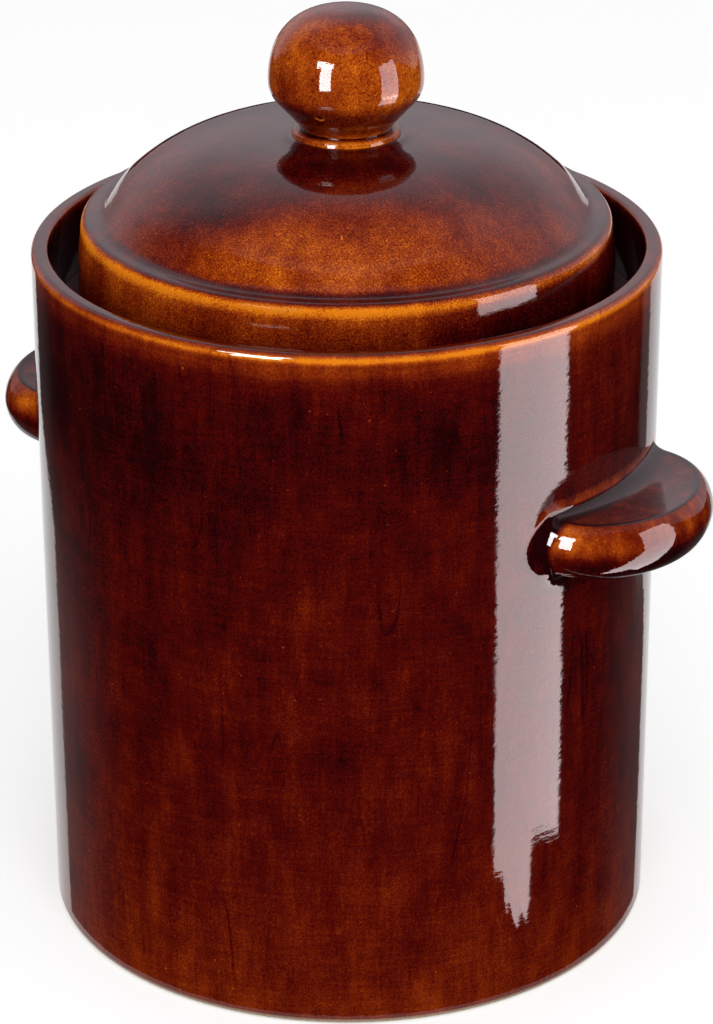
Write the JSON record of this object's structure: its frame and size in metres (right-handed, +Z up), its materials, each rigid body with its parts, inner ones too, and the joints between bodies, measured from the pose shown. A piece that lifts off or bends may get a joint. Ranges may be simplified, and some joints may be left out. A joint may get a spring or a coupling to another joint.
{
  "type": "fermentation crock",
  "caption": "Straight-sided glazed stoneware fermentation crock with lug handles, a water channel round its mouth, a domed lid with a knob, and half-moon pressing weights inside.",
  "frame": {"origin": "centre of the base, on the surface the crock stands on", "axes": "+Z up along the crock's axis; +X through the middle of the right handle; -Y is the front side between the handles"},
  "size_m": [0.2548, 0.2, 0.3058],
  "materials": {
    "body_glaze": "gloss",
    "lid_glaze": "gloss",
    "edge_glaze": "gloss",
    "bare_clay": "matte"
  },
  "bodies": {
    "crock": {"crock_body": "body_glaze", "water_seal_collar": "body_glaze", "left_handle": "edge_glaze", "right_handle": "edge_glaze"},
    "lid": {"lid": "lid_glaze", "lid_knob": "edge_glaze"},
    "weight_left": {"weight_left": "bare_clay"},
    "weight_right": {"weight_right": "bare_clay"}
  },
  "joints": [
    {"name": "lid_lift", "type": "slide", "parent": "crock", "child": "lid", "axis": [0, 0, 1], "range_m": [0, 0.15]},
    {"name": "weight_left_lift", "type": "slide", "parent": "crock", "child": "weight_left", "axis": [0, 0, 1], "range_m": [0, 0.16]},
    {"name": "weight_right_lift", "type": "slide", "parent": "crock", "child": "weight_right", "axis": [0, 0, 1], "range_m": [0, 0.16]}
  ]
}
